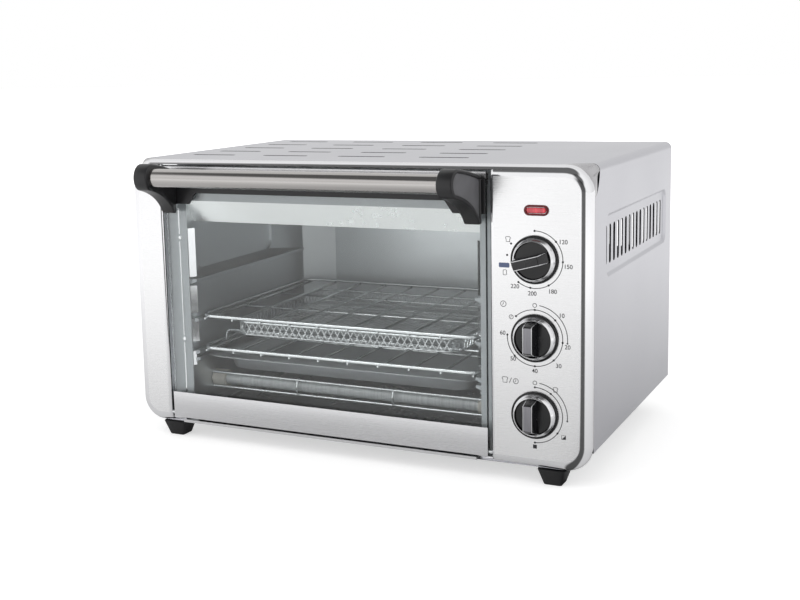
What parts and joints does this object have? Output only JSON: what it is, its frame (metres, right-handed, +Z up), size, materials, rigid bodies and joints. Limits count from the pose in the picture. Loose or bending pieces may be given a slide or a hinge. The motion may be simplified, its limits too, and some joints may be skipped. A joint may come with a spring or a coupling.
{
  "type": "mini oven",
  "caption": "Countertop mini oven with a bottom-hinged glass door, wire racks, mesh basket, baking tray, control knobs, vented steel cover and rubber feet.",
  "frame": {"origin": "on the worktop, under the middle of the oven's outer box", "axes": "+Z up, -Y towards the user, +X to the oven's right as seen from the front"},
  "size_m": [0.43, 0.338, 0.258],
  "materials": {
    "polished_steel": "brushed on the faces, polished on the bullnose edge",
    "cover_steel": "satin silver enamel",
    "galvanised_steel": "matt galvanised sheet",
    "liner_steel": "aluminised sheet, satin",
    "door_steel": "brushed along its length",
    "black_plastic": "moulded, satin",
    "chrome_ring": "mirror",
    "wire": "chromed wire",
    "tray_enamel": "dark enamel, satin",
    "ceramic": "unglazed ceramic, matt",
    "quartz": "milky quartz glass",
    "door_glass": "clear toughened glass",
    "dark_red_plastic": "gloss",
    "lamp_red": "translucent gloss",
    "foot_rubber": "matt black"
  },
  "bodies": {
    "oven": {"front_frame": "polished_steel", "wrap_cover": "cover_steel", "back_panel": "galvanised_steel", "cord_gland": "black_plastic", "base_plate": "galvanised_steel", "cavity_liner": "liner_steel", "heat_shield": "galvanised_steel", "heating_tube_lower_front": "quartz", "heating_tube_lower_rear": "quartz", "heating_tube_upper_front": "quartz", "heating_tube_upper_rear": "quartz", "ceramic_end_lower_front_left": "ceramic", "ceramic_end_lower_front_right": "ceramic", "ceramic_end_lower_rear_left": "ceramic", "ceramic_end_lower_rear_right": "ceramic", "ceramic_end_upper_front_left": "ceramic", "ceramic_end_upper_front_right": "ceramic", "ceramic_end_upper_rear_left": "ceramic", "ceramic_end_upper_rear_right": "ceramic", "heating_tube_guard": "wire", "hinge_plate_left": "galvanised_steel", "hinge_plate_right": "galvanised_steel", "thermostat": "galvanised_steel", "timer": "galvanised_steel", "toast_timer": "galvanised_steel", "lamp_bezel": "dark_red_plastic", "lamp_lens": "lamp_red", "fan_motor": "galvanised_steel", "foot_front_left": "foot_rubber", "foot_front_right": "foot_rubber", "foot_rear_left": "foot_rubber", "foot_rear_right": "foot_rubber"},
    "door": {"door_glass": "door_glass", "door_top_cap": "door_steel", "door_bottom_strip": "door_steel", "door_top_rail": "black_plastic", "handle_bracket_left": "black_plastic", "handle_bracket_right": "black_plastic", "handle_tube": "door_steel", "handle_screw_left": "wire", "handle_screw_right": "wire", "hinge_pin_left": "wire", "hinge_pin_right": "wire"},
    "temperature_dial": {"temperature_knob": "black_plastic", "temperature_knob_ring": "chrome_ring", "temperature_shaft": "wire"},
    "timer_dial": {"timer_knob": "black_plastic", "timer_knob_ring": "chrome_ring", "timer_shaft": "wire"},
    "toast_dial": {"toast_knob": "black_plastic", "toast_knob_ring": "chrome_ring", "toast_shaft": "wire"},
    "fan": {"fan_blade": "galvanised_steel"},
    "upper_shelf": {"upper_rack": "wire"},
    "lower_shelf": {"lower_rack": "wire", "mesh_basket": "wire"},
    "tray": {"baking_tray": "tray_enamel"},
    "crumb_drawer": {"crumb_tray": "door_steel"}
  },
  "joints": [
    {"name": "door_hinge", "type": "hinge", "parent": "oven", "child": "door", "pos_m": [0, -0.1119, 0.0236], "axis": [1, 0, 0], "range_deg": [0, 80]},
    {"name": "upper_rack_slide", "type": "slide", "parent": "oven", "child": "upper_shelf", "axis": [0, -1, 0], "range_m": [0, 0.112]},
    {"name": "lower_rack_slide", "type": "slide", "parent": "oven", "child": "lower_shelf", "axis": [0, -1, 0], "range_m": [0, 0.07]},
    {"name": "baking_tray_slide", "type": "slide", "parent": "oven", "child": "tray", "axis": [0, -1, 0], "range_m": [0, 0.049]},
    {"name": "crumb_tray_slide", "type": "slide", "parent": "oven", "child": "crumb_drawer", "axis": [0, -1, 0], "range_m": [0, 0.19]},
    {"name": "temperature_turn", "type": "hinge", "parent": "oven", "child": "temperature_dial", "pos_m": [0.17, -0.115, 0.1842], "axis": [0, 1, 0], "range_deg": [-255, 52]},
    {"name": "timer_turn", "type": "hinge", "parent": "oven", "child": "timer_dial", "pos_m": [0.17, -0.115, 0.1217], "axis": [0, 1, 0], "range_deg": [-45, 270]},
    {"name": "toast_turn", "type": "hinge", "parent": "oven", "child": "toast_dial", "pos_m": [0.17, -0.115, 0.0592], "axis": [0, 1, 0], "range_deg": [0, 180]},
    {"name": "fan_spin", "type": "hinge", "parent": "oven", "child": "fan", "pos_m": [0.135, 0.035, 0.14], "axis": [1, 0, 0], "continuous": true}
  ],
  "couplings": [
    {"joint": "upper_rack_slide", "follows": "door_hinge", "m_per_rad": 0.08},
    {"joint": "lower_rack_slide", "follows": "door_hinge", "m_per_rad": 0.05},
    {"joint": "baking_tray_slide", "follows": "door_hinge", "m_per_rad": 0.035}
  ]
}
